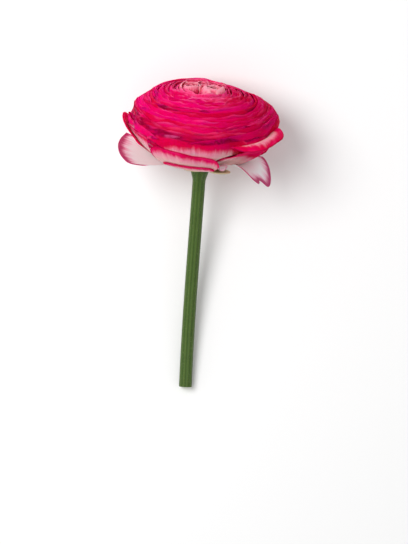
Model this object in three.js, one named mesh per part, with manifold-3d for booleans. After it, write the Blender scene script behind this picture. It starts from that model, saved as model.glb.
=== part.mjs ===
// Ranunculus flower: one double bloom on its bare cut stem, laid down on a surface.
// Millimetres, +Z up. The bloom is drawn upright in a frame of its own, with its axis along z and
// the collar that its petals grow from at z = 0. It is then tipped over, with its axis close to +Y.
// The flower lies on two places: a petal pressed flat under the bloom, and the end of the stem.

import * as THREE from "three";
import { mergeVertices } from "three/addons/utils/BufferGeometryUtils.js";
import Module from "manifold-3d";

const wasm = await Module();
wasm.setup();

// Driving dimensions: the dome of petals
const domeRadius = 48.3; // at its widest ring
const widestHeight = 24.3; // of that ring over the collar
const crownRise = 22.5; // of the top over that ring
const bowlDepth = 26; // of the outer rims' sweep under that ring
const shoulderSlope = 1.15; // 1 makes the dome half an ellipse, more slopes its shoulders
const petalCount = 58; // from the outermost in
const longPetals = 15; // the outermost ones, free from the collar to the rim
const petalHalfAngle = 34; // degrees of the dome's turn to each side of a petal's middle
const sideFall = 0.13; // share of its length by which a petal's rim falls back at the sides
const goldenAngle = 137.508; // degrees from each petal to the next
const firstAzimuth = 150;
const lowestRim = -32; // degrees of latitude on the dome, for the outermost petal
const highestRim = 68; // and for the innermost
const rimCrowding = 0.72; // 1 spaces the rims evenly by latitude, less opens the outer rows
const collarRadius = 9.4;
const rootRadius = 8.5; // of the outermost petal's root
const rootHeight = 1;
const rootNarrowing = 4; // from there to the innermost petal's root
const rootClimb = 12;
const petalThickness = 0.62;
const petalRelief = 4; // how far the petals stand out of the dense middle of the dome
const innerPetalStart = 0.8; // share of an inner petal's length that the dense middle hides

// The pale curled petals at the eye of the bloom
const eyeRadius = 15.2;
const eyeFloor = 32;
const eyeBaseTop = 38;
const eyeRimHeight = 43.6;
const ringPetals = 9;
const clearance = 0.3; // between pieces that sit on each other
const whorls = [
  { x: -7.6, y: 4.0, radius: 5.7, count: 7, turn: 20 },
  { x: 4.6, y: -0.6, radius: 6.4, count: 8, turn: 200 },
];

// The spread petals under the dome, and the sepals
const clawHalfWidth = 3.2; // of a spread petal where it leaves the collar
const spreadRootRadius = 2.5;
const guardThickness = 0.8;
const guardRootHeight = -0.75;
const sepalThickness = 0.7;
const sepalRootHeight = -1.9;
const sepalDiscRadius = 7.2;
const sepalDiscThickness = 0.8;
const sepalHalfWidth = 6.2;

// The stem
const stemRadius = 3.95;
const stemRibs = 10;
const stemBow = 46; // length over which the stem keeps its direction at each end
const ribDepth = 0.28;
const receptacleRadius = 7;
const receptacleTop = -2.6;
const pithRadius = 1.8;
const pithDepth = 6;

// How the flower lies
const axisRise = 21; // degrees that the bloom's axis rises from the surface
const axisTurn = 4; // degrees that it leans from +Y to +X
const domeCentre = new THREE.Vector3(1.9, 67.7, 43.2);
const cutEnd = new THREE.Vector3(-9, -94, 3.7); // middle of the stem's cut end
const pressedHeight = 0.22; // of the middle of the pressed petal over the surface
const firstLayerHeight = 1.0; // of the next petal over the surface, where the bloom rests
const layerRise = 0.24; // more for each petal further in
const pressBlend = 1.2; // over which a petal bends into its pressed part

const radians = THREE.MathUtils.degToRad;
const lerp = THREE.MathUtils.lerp;
const smoothstep = THREE.MathUtils.smoothstep;

// The bloom's frame in the flower's
const turn = radians(axisTurn);
const bloomAxis = new THREE.Vector3(Math.sin(turn), Math.cos(turn), Math.tan(radians(axisRise)));
bloomAxis.normalize();
const bloomAcross = new THREE.Vector3(Math.cos(turn), -Math.sin(turn), 0);
const bloomDown = new THREE.Vector3().crossVectors(bloomAxis, bloomAcross);
const bloomToFlower = new THREE.Matrix4()
  .makeBasis(bloomAcross, bloomDown, bloomAxis)
  .setPosition(domeCentre.clone().addScaledVector(bloomAxis, -widestHeight));
const flowerToBloom = bloomToFlower.clone().invert();

// A repeatable draw between -1 and 1.
function seededDraw(seed) {
  let state = seed;
  return () => {
    state = (Math.imul(state, 1664525) + 1013904223) >>> 0;
    return (state / 2 ** 31) - 1;
  };
}

// A closed geometry as a solid.
function solidOf(geometry) {
  const bare = new THREE.BufferGeometry();
  bare.setAttribute("position", geometry.getAttribute("position"));
  bare.setIndex(geometry.getIndex());
  const merged = mergeVertices(bare, 1e-4);
  const corners = merged.index.array;
  const triVerts = [];
  for (let i = 0; i < corners.length; i += 3) {
    const [a, b, c] = corners.slice(i, i + 3);
    if (a !== b && b !== c && c !== a) triVerts.push(a, b, c);
  }
  const vertProperties = merged.getAttribute("position").array;
  return new wasm.Manifold(
    new wasm.Mesh({ numProp: 3, vertProperties, triVerts: new Uint32Array(triVerts) }),
  );
}

// The main body of a solid, with the hollows that fusing sealed in it filled.
function mainBody(solid) {
  return solid
    .decompose()
    .reduce((largest, body) => (body.volume() > largest.volume() ? body : largest));
}

// A solid as a mesh that carries a name and a colour.
function meshOf(name, solid, colour, roughness) {
  const { numProp, numVert, vertProperties, triVerts } = solid.getMesh();
  const places = new Float32Array(numVert * 3);
  for (let i = 0; i < numVert; i++) {
    places.set(vertProperties.subarray(i * numProp, i * numProp + 3), i * 3);
  }
  const geometry = new THREE.BufferGeometry();
  geometry.setAttribute("position", new THREE.BufferAttribute(places, 3));
  geometry.setIndex(new THREE.BufferAttribute(triVerts, 1));
  geometry.computeVertexNormals();
  const material = new THREE.MeshStandardMaterial({ color: colour, roughness, metalness: 0 });
  const mesh = new THREE.Mesh(geometry, material);
  mesh.name = name;
  return mesh;
}

// Everything under the surface that the flower lies on, in either frame.
function underSurface(toFrame) {
  const box = new THREE.BoxGeometry(400, 400, 30).translate(0, 0, -15);
  return solidOf(toFrame ? box.applyMatrix4(toFrame) : box);
}

// A solid turned round the z axis from an outline of [radius, height] points.
function turned(outline, sides) {
  const points = outline.map(([radius, height]) => new THREE.Vector2(radius, height));
  return new THREE.LatheGeometry(points, sides).rotateX(Math.PI / 2);
}

// A blade of even thickness round a middle surface. middle(u, v) gives its points for u from -1 to
// 1 across and v from 0 at the root to 1 at the tip. Both faces are split into triangles alike.
function blade(middle, across, along, thickness) {
  const columns = across + 1;
  const points = [];
  for (let j = 0; j <= along; j++) {
    for (let i = 0; i <= across; i++) points.push(middle((2 * i) / across - 1, j / along));
  }
  const at = (i, j) => {
    const column = Math.min(Math.max(i, 0), across);
    return points[Math.min(Math.max(j, 0), along) * columns + column];
  };
  const places = [];
  for (const side of [0.5, -0.5]) {
    for (let j = 0; j <= along; j++) {
      for (let i = 0; i <= across; i++) {
        const alongU = at(i + 1, j).clone().sub(at(i - 1, j));
        const alongV = at(i, j + 1).clone().sub(at(i, j - 1));
        const normal = alongU.cross(alongV).normalize();
        places.push(...at(i, j).clone().addScaledVector(normal, side * thickness));
      }
    }
  }
  const other = points.length; // from a point of the one face to its twin on the other
  const faces = [];
  for (let j = 0; j < along; j++) {
    for (let i = 0; i < across; i++) {
      const a = j * columns + i;
      const b = a + 1;
      const c = b + columns;
      const d = a + columns;
      faces.push(a, b, c, a, c, d);
      faces.push(a + other, c + other, b + other, a + other, d + other, c + other);
    }
  }
  const rim = [];
  for (let i = 0; i < across; i++) rim.push(i);
  for (let j = 0; j < along; j++) rim.push(j * columns + across);
  for (let i = across; i > 0; i--) rim.push(along * columns + i);
  for (let j = along; j > 0; j--) rim.push(j * columns);
  rim.forEach((p, n) => {
    const q = rim[(n + 1) % rim.length];
    faces.push(q, p, p + other, q, p + other, q + other);
  });
  const geometry = new THREE.BufferGeometry();
  geometry.setAttribute("position", new THREE.Float32BufferAttribute(places, 3));
  geometry.setIndex(faces);
  return solidOf(geometry);
}

// Lifts a point of the bloom that lies too low, so that the petals bed flat where they rest.
function pressed(point, height) {
  const place = point.applyMatrix4(bloomToFlower);
  const over = place.z - height;
  if (over < -pressBlend) place.z = height;
  else if (over < pressBlend) place.z = height + (over + pressBlend) ** 2 / (4 * pressBlend);
  return place.applyMatrix4(flowerToBloom);
}

// A place on the dome that the petals' rims follow, at a latitude in radians.
function domePoint(latitude, inset = 0) {
  const rise = latitude > 0 ? crownRise : bowlDepth;
  return new THREE.Vector2(
    (domeRadius - inset) * Math.cos(latitude) ** shoulderSlope,
    widestHeight + (rise - inset) * Math.sin(latitude),
  );
}

// The curve through the bloom's half plane that four [radius, height] points control.
function courseCurve(course) {
  return new THREE.CubicBezierCurve(
    ...course.map(([radius, height]) => new THREE.Vector2(radius, height)),
  );
}

// The course of a dome petal from root to rim, in [radius, height]: level 0 is the outermost. It
// leaves its root flat for an outer petal and steep for an inner one, and curls in to the dome.
function shellCurve(level) {
  const latitude = radians(lerp(lowestRim, highestRim, level ** rimCrowding));
  const step = 0.01;
  const rim = domePoint(latitude);
  const rising = domePoint(latitude + step).sub(domePoint(latitude - step)).normalize();
  const outward = new THREE.Vector2(rising.y, -rising.x);
  const flare = radians(lerp(38, 34, Math.sqrt(level)));
  const arrival = rising.multiplyScalar(Math.cos(flare)).addScaledVector(outward, Math.sin(flare));
  const root = new THREE.Vector2(rootRadius - rootNarrowing * level, rootHeight + rootClimb * level);
  const steepness = radians(66 * level ** 0.62);
  const departure = new THREE.Vector2(Math.cos(steepness), Math.sin(steepness));
  const span = rim.distanceTo(root);
  const nearRoot = root.clone().addScaledVector(departure, span * lerp(0.62, 0.45, level));
  const nearRim = rim.clone().addScaledVector(arrival, -span * lerp(0.24, 0.42, level ** 0.6));
  return new THREE.CubicBezierCurve(root, nearRoot, nearRim, rim);
}

// A petal of the dome, wrapped round it along a course. height is where it beds over the surface.
function domePetal({ curve, azimuth, height, start = 0, cells: [across, along] }) {
  const middle = (u, v) => {
    const rim = 1 - sideFall * Math.abs(u) ** 2.5;
    const place = curve.getPoint(lerp(start, rim, v));
    const angle = radians(azimuth + u * petalHalfAngle);
    const point = new THREE.Vector3(
      place.x * Math.cos(angle),
      place.x * Math.sin(angle),
      place.y,
    );
    return pressed(point, height);
  };
  return blade(middle, across, along, petalThickness);
}

// A petal or sepal that spreads from the collar by itself, wide or narrow, along its own course.
function spreadBlade({
  azimuth, course, claw, halfWidth, widest = 0.62, cup = 0, roundness = 0.25, notch = 0,
  cells: [across, along], thickness,
}) {
  const curve = courseCurve(course);
  const outward = new THREE.Vector3(Math.cos(radians(azimuth)), Math.sin(radians(azimuth)), 0);
  const aside = new THREE.Vector3(-outward.y, outward.x, 0);
  const middle = (u, v) => {
    const cleft = notch * Math.exp(-(((u + 0.3) / 0.22) ** 2));
    const reach = v * (1 - roundness * Math.abs(u) ** 2.2 - cleft);
    const place = curve.getPoint(reach);
    const slope = curve.getTangent(reach);
    const breadth = lerp(claw, halfWidth, smoothstep(reach, 0, widest));
    const lift = cup * u * u * smoothstep(reach, 0.1, 1);
    return outward
      .clone()
      .multiplyScalar(place.x - slope.y * lift)
      .addScaledVector(aside, u * breadth)
      .setZ(place.y + slope.x * lift);
  };
  return blade(middle, across, along, thickness);
}

// The dense middle of the dome, which the inner petals stand out of, with a cup for the eye.
function domeCore() {
  const level = longPetals / (petalCount - 1) + 0.012;
  const outline = [[0, 0], [collarRadius, 0], [collarRadius, 1.6], [collarRadius - 0.4, 4.2]];
  const bowl = shellCurve(level);
  for (let share = 0.2; share < 0.84; share += 0.155) {
    const place = bowl.getPoint(share);
    outline.push([place.x, place.y]);
  }
  for (let latitude = 14; latitude <= 62; latitude += 12) {
    const place = domePoint(radians(latitude), petalRelief);
    outline.push([place.x, place.y]);
  }
  const lip = outline.at(-1)[1];
  outline.push([eyeRadius, lip], [eyeRadius, eyeFloor], [0, eyeFloor]);
  return solidOf(turned(outline, 24));
}

// The dome: nested shells of overlapping petals, one more petal that the bloom rests on, and a
// stunted one that shows under its edge.
function petals() {
  const draw = seededDraw(11);
  const resting = courseCurve([[8.3, 0.45], [33, -0.2], [49.6, 8], [49.4, 27.5]]);
  let solid = domeCore().add(
    domePetal({ curve: resting, azimuth: 90, height: pressedHeight, cells: [6, 9] }),
  );
  for (let k = 0; k < petalCount; k++) {
    const long = k < longPetals;
    solid = solid.add(
      domePetal({
        curve: shellCurve(k / (petalCount - 1)),
        azimuth: firstAzimuth + k * goldenAngle + 3 * draw(),
        height: firstLayerHeight + layerRise * k,
        start: long ? 0 : innerPetalStart,
        cells: long ? [4, 6] : [4, 2],
      }),
    );
  }
  const stunted = spreadBlade({
    azimuth: -55, course: [[7, 0.5], [16, 0.3], [23, 1.0], [29, 2.2]],
    claw: 1.6, halfWidth: 3.2, widest: 0.9, cells: [3, 4], thickness: petalThickness,
  });
  return mainBody(solid.add(stunted).subtract(underSurface(flowerToBloom)));
}

// A small curled petal of the eye, standing round a centre of its own and leaning in at its rim.
function curledPetal({ x, y, foot, radius, rimRadius, rimHeight, azimuth, halfAngle }) {
  const course = courseCurve([
    [radius, foot], [radius * 1.04, lerp(foot, rimHeight, 0.5)],
    [radius * 1.04, lerp(foot, rimHeight, 0.85)], [rimRadius, rimHeight],
  ]);
  const middle = (u, v) => {
    const place = course.getPoint(v * (1 - 0.2 * Math.abs(u) ** 2.5));
    const angle = radians(azimuth + u * halfAngle);
    return new THREE.Vector3(
      x + place.x * Math.cos(angle),
      y + place.x * Math.sin(angle),
      place.y,
    );
  };
  return blade(middle, 4, 3, petalThickness);
}

// The eye: a ring of pale petals round two whorls of curled ones, on a base of their own.
function eyePetals() {
  const draw = seededDraw(5);
  const baseRadius = eyeRadius - clearance - 0.1;
  const foot = eyeFloor + clearance;
  const base = [[0, foot], [baseRadius, foot], [baseRadius, eyeBaseTop], [0, eyeBaseTop + 2]];
  let solid = solidOf(turned(base, 28));
  for (let k = 0; k < ringPetals; k++) {
    const inward = k / (ringPetals - 1);
    solid = solid.add(
      curledPetal({
        x: 0, y: 0, foot: eyeBaseTop - 2, radius: lerp(14.3, 12.3, inward),
        rimRadius: lerp(13, 10.6, inward), rimHeight: eyeRimHeight + 0.4 * draw(),
        azimuth: k * goldenAngle, halfAngle: 30,
      }),
    );
  }
  for (const { x, y, radius, count, turn } of whorls) {
    for (let k = 0; k < count; k++) {
      const inward = k / (count - 1);
      const ring = lerp(radius - 0.8, 1.3, inward);
      solid = solid.add(
        curledPetal({
          x, y, foot: eyeBaseTop - 1, radius: ring, rimRadius: 0.78 * ring,
          rimHeight: eyeRimHeight - 0.6 - 1.2 * inward + 0.3 * draw(),
          azimuth: turn + k * goldenAngle, halfAngle: lerp(52, 85, inward),
        }),
      );
    }
  }
  return solid;
}

// The two petals that have dropped from the dome and spread by themselves.
function guardPetalLeft() {
  return spreadBlade({
    azimuth: 188, course: [[spreadRootRadius, guardRootHeight], [18, -1.3], [35, 0.9], [51, 6.8]],
    claw: clawHalfWidth, halfWidth: 23, widest: 1, cup: 1.6, roundness: 0.12, cells: [8, 9],
    thickness: guardThickness,
  });
}

function guardPetalRight() {
  return spreadBlade({
    azimuth: -18, course: [[spreadRootRadius, guardRootHeight], [18, -1.6], [38, 5.6], [44, -9.3]],
    claw: clawHalfWidth, halfWidth: 17.5, widest: 0.75, cup: 1.2, roundness: 0.2, notch: 0.08,
    cells: [10, 9], thickness: guardThickness,
  });
}

// Five sepals round a small disc: some spread flat under the dome, some bent back to the stem.
function sepals() {
  const root = [spreadRootRadius, sepalRootHeight];
  const spread = [root, [10, -2.2], [17, -2.4], [24, -1.2]];
  const tucked = [root, [9, -2.2], [14, -1.9], [19, -0.6]];
  const low = [root, [10, -2.3], [16, -3.1], [21, -3.6]];
  const bentBack = [root, [11, -1.6], [18, -4], [20.5, -9]];
  const under = sepalRootHeight - sepalDiscThickness / 2;
  const over = sepalRootHeight + sepalDiscThickness / 2;
  const disc = solidOf(
    turned([[0, under], [sepalDiscRadius, under], [sepalDiscRadius, over], [0, over]], 24),
  );
  return [spread, spread, bentBack, low, tucked].reduce((solid, course, n) => {
    const sepal = spreadBlade({
      azimuth: -41 + 72 * n, course, claw: 3.4, halfWidth: sepalHalfWidth, widest: 0.5, cup: -0.8,
      roundness: 0.55, cells: [4, 6], thickness: sepalThickness,
    });
    return solid.add(sepal);
  }, disc);
}

// The stem: a ribbed tube that bows down to the surface, widening under the sepals into the
// receptacle, with a short open pith at its cut end.
function stem() {
  const section = new THREE.Shape();
  for (let n = 0; n < 2 * stemRibs; n++) {
    const angle = (Math.PI * n) / stemRibs;
    const radius = stemRadius - (n % 2) * ribDepth;
    const corner = [radius * Math.cos(angle), radius * Math.sin(angle)];
    if (n === 0) section.moveTo(...corner);
    else section.lineTo(...corner);
  }
  section.closePath();
  const neck = new THREE.Vector3(0, 0, receptacleTop - 3).applyMatrix4(bloomToFlower);
  const cutDirection = new THREE.Vector3(-0.04, -0.996, -0.075).normalize();
  const course = new THREE.CubicBezierCurve3(
    neck,
    neck.clone().addScaledVector(bloomAxis, -stemBow),
    cutEnd.clone().addScaledVector(cutDirection, -stemBow),
    cutEnd,
  );
  const tube = solidOf(
    new THREE.ExtrudeGeometry(section, { steps: 26, extrudePath: course, bevelEnabled: false }),
  );
  const receptacle = solidOf(
    turned(
      [
        [0, receptacleTop - 10], [3.4, receptacleTop - 10], [3.9, receptacleTop - 6.4],
        [5.2, receptacleTop - 2.6], [receptacleRadius, receptacleTop - 0.9],
        [receptacleRadius, receptacleTop], [0, receptacleTop],
      ],
      24,
    ).applyMatrix4(bloomToFlower),
  );
  const pith = new THREE.CylinderGeometry(pithRadius, pithRadius, 2 * pithDepth, 14);
  pith.applyQuaternion(
    new THREE.Quaternion().setFromUnitVectors(new THREE.Vector3(0, 1, 0), cutDirection),
  );
  pith.translate(cutEnd.x, cutEnd.y, cutEnd.z);
  return tube.add(receptacle).subtract(solidOf(pith)).subtract(underSurface());
}

const flower = new THREE.Group();
const bloom = new THREE.Group();
bloom.applyMatrix4(bloomToFlower);
bloom.add(
  meshOf("petals", petals(), 0xdf1060, 0.55),
  meshOf("eye_petals", eyePetals(), 0xef8fa6, 0.6),
  meshOf("guard_petal_left", guardPetalLeft(), 0xf2dde6, 0.55),
  meshOf("guard_petal_right", guardPetalRight(), 0xf2dde6, 0.55),
  meshOf("sepals", sepals(), 0x8f8a52, 0.7),
);
flower.add(bloom, meshOf("stem", stem(), 0x66803c, 0.6));

export default flower;
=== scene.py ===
import math
import random
from types import SimpleNamespace

import bpy
import numpy as np
from mathutils import Matrix, Vector


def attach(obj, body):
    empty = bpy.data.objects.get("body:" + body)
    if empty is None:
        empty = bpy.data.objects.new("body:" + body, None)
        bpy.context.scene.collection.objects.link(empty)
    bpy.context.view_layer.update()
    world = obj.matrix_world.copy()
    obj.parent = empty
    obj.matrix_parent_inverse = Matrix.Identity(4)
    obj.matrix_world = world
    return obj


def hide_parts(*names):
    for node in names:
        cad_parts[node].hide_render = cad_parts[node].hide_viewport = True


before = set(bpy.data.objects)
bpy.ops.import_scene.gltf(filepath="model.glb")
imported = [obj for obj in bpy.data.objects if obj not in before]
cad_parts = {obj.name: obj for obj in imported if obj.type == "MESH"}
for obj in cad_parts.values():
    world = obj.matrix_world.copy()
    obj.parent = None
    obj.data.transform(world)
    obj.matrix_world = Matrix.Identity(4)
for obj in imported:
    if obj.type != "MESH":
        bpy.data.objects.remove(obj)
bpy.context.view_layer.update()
mm = 0.001

bpy.context.scene.view_settings.view_transform = "Standard"


class Wire:  # an output of a node, so that sums on it can be written as plain Python
    def __init__(self, maker, socket):
        self.maker = maker
        self.socket = socket

    def math(self, operation, *others):
        return self.maker.add("ShaderNodeMath", {"operation": operation}, [self, *others])

    def __add__(self, other):
        return self.math("ADD", other)

    __radd__ = __add__

    def __sub__(self, other):
        return self.math("SUBTRACT", other)

    def __rsub__(self, other):
        return self.maker.add("ShaderNodeMath", {"operation": "SUBTRACT"}, [other, self])

    def __mul__(self, other):
        return self.math("MULTIPLY", other)

    __rmul__ = __mul__

    def __truediv__(self, other):
        return self.math("DIVIDE", other)

    def __pow__(self, other):
        return self.math("POWER", other)

    def __abs__(self):
        return self.math("ABSOLUTE")

    def smooth(self, low, high):  # 0 at low, 1 at high, with a soft start and end
        settings = {"interpolation_type": "SMOOTHSTEP"}
        return self.maker.add("ShaderNodeMapRange", settings, [self, low, high, 0.0, 1.0])


class Maker:  # adds nodes to one tree
    def __init__(self, tree):
        self.tree = tree

    def add(self, kind, settings=None, sockets=None, output=0):
        node = self.tree.nodes.new(kind)
        for name, value in (settings or {}).items():
            setattr(node, name, value)
        named = sockets.items() if isinstance(sockets, dict) else enumerate(sockets or [])
        for key, value in named:
            if isinstance(value, Wire):
                self.tree.links.new(value.socket, node.inputs[key])
            else:
                node.inputs[key].default_value = value
        return Wire(self, node.outputs[output])

    def vector(self, x, y, z):
        return self.add("ShaderNodeCombineXYZ", None, [x, y, z])

    def part(self, vector, axis):
        return self.add("ShaderNodeSeparateXYZ", None, [vector], axis)

    def noise(self, vector, scale=1.0, detail=2.0, roughness=0.5):
        sockets = {"Vector": vector, "Scale": scale, "Detail": detail, "Roughness": roughness}
        return self.add("ShaderNodeTexNoise", None, sockets)

    def blend(self, share, one, other):  # from one colour to the other
        return self.add(
            "ShaderNodeMix", {"data_type": "RGBA"}, {0: share, 6: one, 7: other}, output=2
        )

    def painted(self, label):  # in a material: a number that the mesh carries at each point
        return self.add("ShaderNodeAttribute", {"attribute_name": label}, None, "Fac")

    def carried(self, label):  # the same in a geometry tree
        return self.add("GeometryNodeInputNamedAttribute", {"data_type": "FLOAT"}, {"Name": label})

    def keep(self, geometry, label, value):  # gives each point such a number
        return self.add(
            "GeometryNodeStoreNamedAttribute",
            {"data_type": "FLOAT", "domain": "POINT"},
            {"Geometry": geometry, "Name": label, "Value": value},
        )

    def place(self):  # of each point, in a geometry tree
        return self.add("GeometryNodeInputPosition")

    def dress(self, geometry, material):
        return self.add(
            "GeometryNodeSetMaterial", None, {"Geometry": geometry, "Material": material}
        )


def lerp(a, b, share):
    return a + (b - a) * share


def smoothstep(x, low, high):
    share = np.clip((x - low) / (high - low), 0, 1)
    return share * share * (3 - 2 * share)


def bezier(course, share):
    share = share[..., None]
    rest = 1 - share
    a, b, c, d = (np.array(point, float) for point in course)
    return rest**3 * a + 3 * rest**2 * share * b + 3 * rest * share**2 * c + share**3 * d


lying = {  # how the flower lies: the bloom is drawn upright, its collar at the origin, then tipped
    "axisRise": 21,  # degrees
    "axisTurn": 4,
    "domeCentre": Vector((1.9, 67.7, 43.2)) * mm,
    "widestHeight": 24.3 * mm,  # of the dome, above its collar
}
lean = math.radians(lying["axisTurn"])
bloomAxis = Vector((math.sin(lean), math.cos(lean), math.tan(math.radians(lying["axisRise"]))))
bloomAxis.normalize()
bloomAcross = Vector((math.cos(lean), -math.sin(lean), 0))
bloomDown = bloomAxis.cross(bloomAcross)
bloomOrigin = lying["domeCentre"] - bloomAxis * lying["widestHeight"]
bloomToFlower = Matrix.Translation(bloomOrigin) @ Matrix(
    (bloomAcross, bloomDown, bloomAxis)
).transposed().to_4x4()


def newPiece(name, mesh):
    piece = bpy.data.objects.new(name, mesh)
    bpy.context.scene.collection.objects.link(piece)
    return piece


def mark(mesh, marks):  # gives each point its numbers, by name
    for label, values in marks.items():
        mesh.attributes.new(label, "FLOAT", "POINT").data.foreach_set("value", values)


def settle(piece, sharpAngle=50):  # keeps what the modifiers make as the piece's own plain mesh
    graph = bpy.context.evaluated_depsgraph_get()
    mesh = bpy.data.meshes.new_from_object(
        piece.evaluated_get(graph), preserve_all_data_layers=True, depsgraph=graph
    )
    piece.modifiers.clear()
    piece.data = mesh
    mesh.shade_smooth()
    mesh.set_sharp_from_angle(angle=math.radians(sharpAngle))
    return piece


def thicken(piece, thickness):
    shell = piece.modifiers.new("thickness", "SOLIDIFY")
    shell.thickness = thickness
    shell.offset = 0


def claim(piece, slot, *nodes):  # the piece moves with the flower and stands for these nodes
    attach(piece, "root")
    if nodes:
        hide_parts(*nodes)
    return piece


def geometryTree(name, sizes):  # a tree with one input for each size, and the wires from them
    kinds = {float: "NodeSocketFloat", int: "NodeSocketInt", Vector: "NodeSocketVector"}
    tree = bpy.data.node_groups.new(name, "GeometryNodeTree")
    tree.interface.new_socket("Geometry", in_out="OUTPUT", socket_type="NodeSocketGeometry")
    tree.interface.new_socket("Geometry", in_out="INPUT", socket_type="NodeSocketGeometry")
    for label, value in sizes.items():
        kind = kinds.get(type(value), "NodeSocketMaterial")
        tree.interface.new_socket(label, in_out="INPUT", socket_type=kind)
    entry = tree.nodes.new("NodeGroupInput")
    maker = Maker(tree)
    wires = {label: Wire(maker, entry.outputs[label]) for label in ("Geometry", *sizes)}
    return maker, SimpleNamespace(**wires)


def runTree(piece, maker, result, sizes):  # ends the tree and gives it to the piece
    leave = maker.tree.nodes.new("NodeGroupOutput")
    maker.tree.links.new(result.socket, leave.inputs[0])
    modifier = piece.modifiers.new("grown", "NODES")
    modifier.node_group = maker.tree
    for item in maker.tree.interface.items_tree:
        if item.in_out == "INPUT" and item.name in sizes:
            modifier[item.identifier] = sizes[item.name]


def newMaterial(name, constants):  # its Principled shader's own sockets take the constants
    material = bpy.data.materials.new(name)
    material.use_nodes = True
    shader = material.node_tree.nodes["Principled BSDF"]
    for label, value in constants.items():
        shader.inputs[label].default_value = value
    return material, Maker(material.node_tree), shader


def feed(maker, shader, label, wire):
    maker.tree.links.new(wire.socket, shader.inputs[label])


def emboss(maker, shader, height, strength, depth=0.4 * mm):  # fine relief on the surface
    sockets = {"Strength": strength, "Distance": depth, "Height": height}
    feed(maker, shader, "Normal", maker.add("ShaderNodeBump", None, sockets))


petalPaint = {
    "finish": {
        "Roughness": 0.55,
        "Specular IOR Level": 0.01,
        "Subsurface Weight": 0.7,
        "Subsurface Radius": (1.0, 0.7, 0.7),
        "Subsurface Scale": 2 * mm,
    },
    "cream": (0.92, 0.46, 0.43, 1),  # towards the root
    "blush": (0.82, 0.06, 0.24, 1),
    "magenta": (0.60, 0.0, 0.036, 1),  # towards the rim
    "pink": (0.88, 0.0, 0.125, 1),
    "deep": (0.34, 0.0, 0.02, 1),  # in the veins
    "rimLine": (0.26, 0.002, 0.03, 1),
    "glint": (1.0, 0.05, 0.2, 1),  # a painted highlight just under the rims, where a rim lets the light through
    "relief": 0.35,
}


def petalMaterial():  # pale from the root up, then magenta where its flush starts
    paint = petalPaint
    material, maker, shader = newMaterial("petalSkin", paint["finish"])
    across, along, dice = (maker.painted(label) for label in ("across", "along", "dice"))
    streakPlace = maker.vector(across * 34.0, along * 3.0, dice * 90.0)
    fingerPlace = maker.vector(across * 8.0, along * 1.5, dice * 70.0)
    broadPlace = maker.vector(across * 3.0, along * 5.0, dice * 40.0)
    streak = maker.noise(streakPlace, detail=3.0, roughness=0.65)  # fine veins
    finger = maker.noise(fingerPlace, detail=4.0, roughness=0.75)  # strokes of the brush-like flush
    broad = maker.noise(broadPlace)  # slow changes of hue
    start = maker.painted("flush")
    reach = along + (finger - 0.5) * 0.22 + (streak - 0.5) * 0.05 + (broad - 0.5) * 0.08
    reach = reach + across * across * maker.painted("sides")
    flush = reach.smooth(start - 0.07, start + 0.04)
    warm = (along + (finger - 0.5) * 0.3).smooth(start - 0.22, start)
    base = maker.blend(warm * 0.5 + finger * 0.3, paint["cream"], paint["blush"])
    hue = (broad * 0.8 + dice * 0.8 - 0.35 + (streak - 0.5) * 0.5).smooth(0.1, 0.9)
    skin = maker.blend(hue, paint["magenta"], paint["pink"])
    skin = maker.blend((streak - 0.45).smooth(0.0, 0.3) * 0.25, skin, paint["deep"])
    colour = maker.blend(flush, base, skin)
    # painted highlight: a brighter pink in patches just under the rim, as strong as each petal's
    # glint
    nearRim = along.smooth(0.93, 0.985)
    glint = nearRim * nearRim * (broad - 0.42).smooth(0.0, 0.22) * maker.painted("glint")
    colour = maker.blend(glint, colour, paint["glint"])
    side = abs(across).smooth(0.965, 0.985) * along.smooth(0.2, 0.5)
    line = along.smooth(0.972, 0.99).math("MAXIMUM", side) * maker.painted("line")
    colour = maker.blend(line, colour, paint["rimLine"])
    feed(maker, shader, "Base Color", colour)
    emboss(maker, shader, streak, paint["relief"])
    return material


guardPaint = {
    "finish": {
        "Roughness": 0.5,
        "Specular IOR Level": 0.35,
        "Subsurface Weight": 0.15,
        "Subsurface Radius": (1.0, 1.0, 1.0),
        "Subsurface Scale": 0.8 * mm,
    },
    "coolWhite": (0.84, 0.98, 0.98, 1),
    "softWhite": (0.88, 0.92, 0.94, 1),
    "tinge": (0.80, 0.13, 0.36, 1),  # runs into the white from the margin
    "margin": (0.46, 0.003, 0.12, 1),
    "relief": 0.3,
}


def guardMaterial():
    paint = guardPaint
    material, maker, shader = newMaterial("guardSkin", paint["finish"])
    across, along, edge = (maker.painted(label) for label in ("across", "along", "edge"))
    streak = maker.noise(maker.vector(across * 22.0, along * 1.5, 3.0), detail=3.0, roughness=0.6)
    broad = maker.noise(maker.vector(across * 3.0, along * 3.0, 8.0))
    white = maker.blend(broad, paint["coolWhite"], paint["softWhite"])
    tinge = (edge + (streak - 0.5) * 0.3 + (broad - 0.5) * 0.2).smooth(0.80, 1.0)
    colour = maker.blend(tinge, white, paint["tinge"])
    margin = (edge + (streak - 0.5) * 0.08 + (broad - 0.5) * 0.08).smooth(0.90, 0.97)
    colour = maker.blend(margin, colour, paint["margin"])
    feed(maker, shader, "Base Color", colour)
    emboss(maker, shader, streak, paint["relief"])
    return material


eyePaint = {
    "finish": {
        "Roughness": 0.5,
        "Specular IOR Level": 0.02,
        "Subsurface Weight": 0.5,
        "Subsurface Radius": (1.0, 0.6, 0.6),
        "Subsurface Scale": 2 * mm,
    },
    "darkFoot": (0.62, 0.0, 0.06, 1),
    "lightFoot": (0.88, 0.02, 0.16, 1),
    "pinkRim": (0.95, 0.02, 0.19, 1),
    "salmonRim": (1.0, 0.32, 0.40, 1),
}


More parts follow.
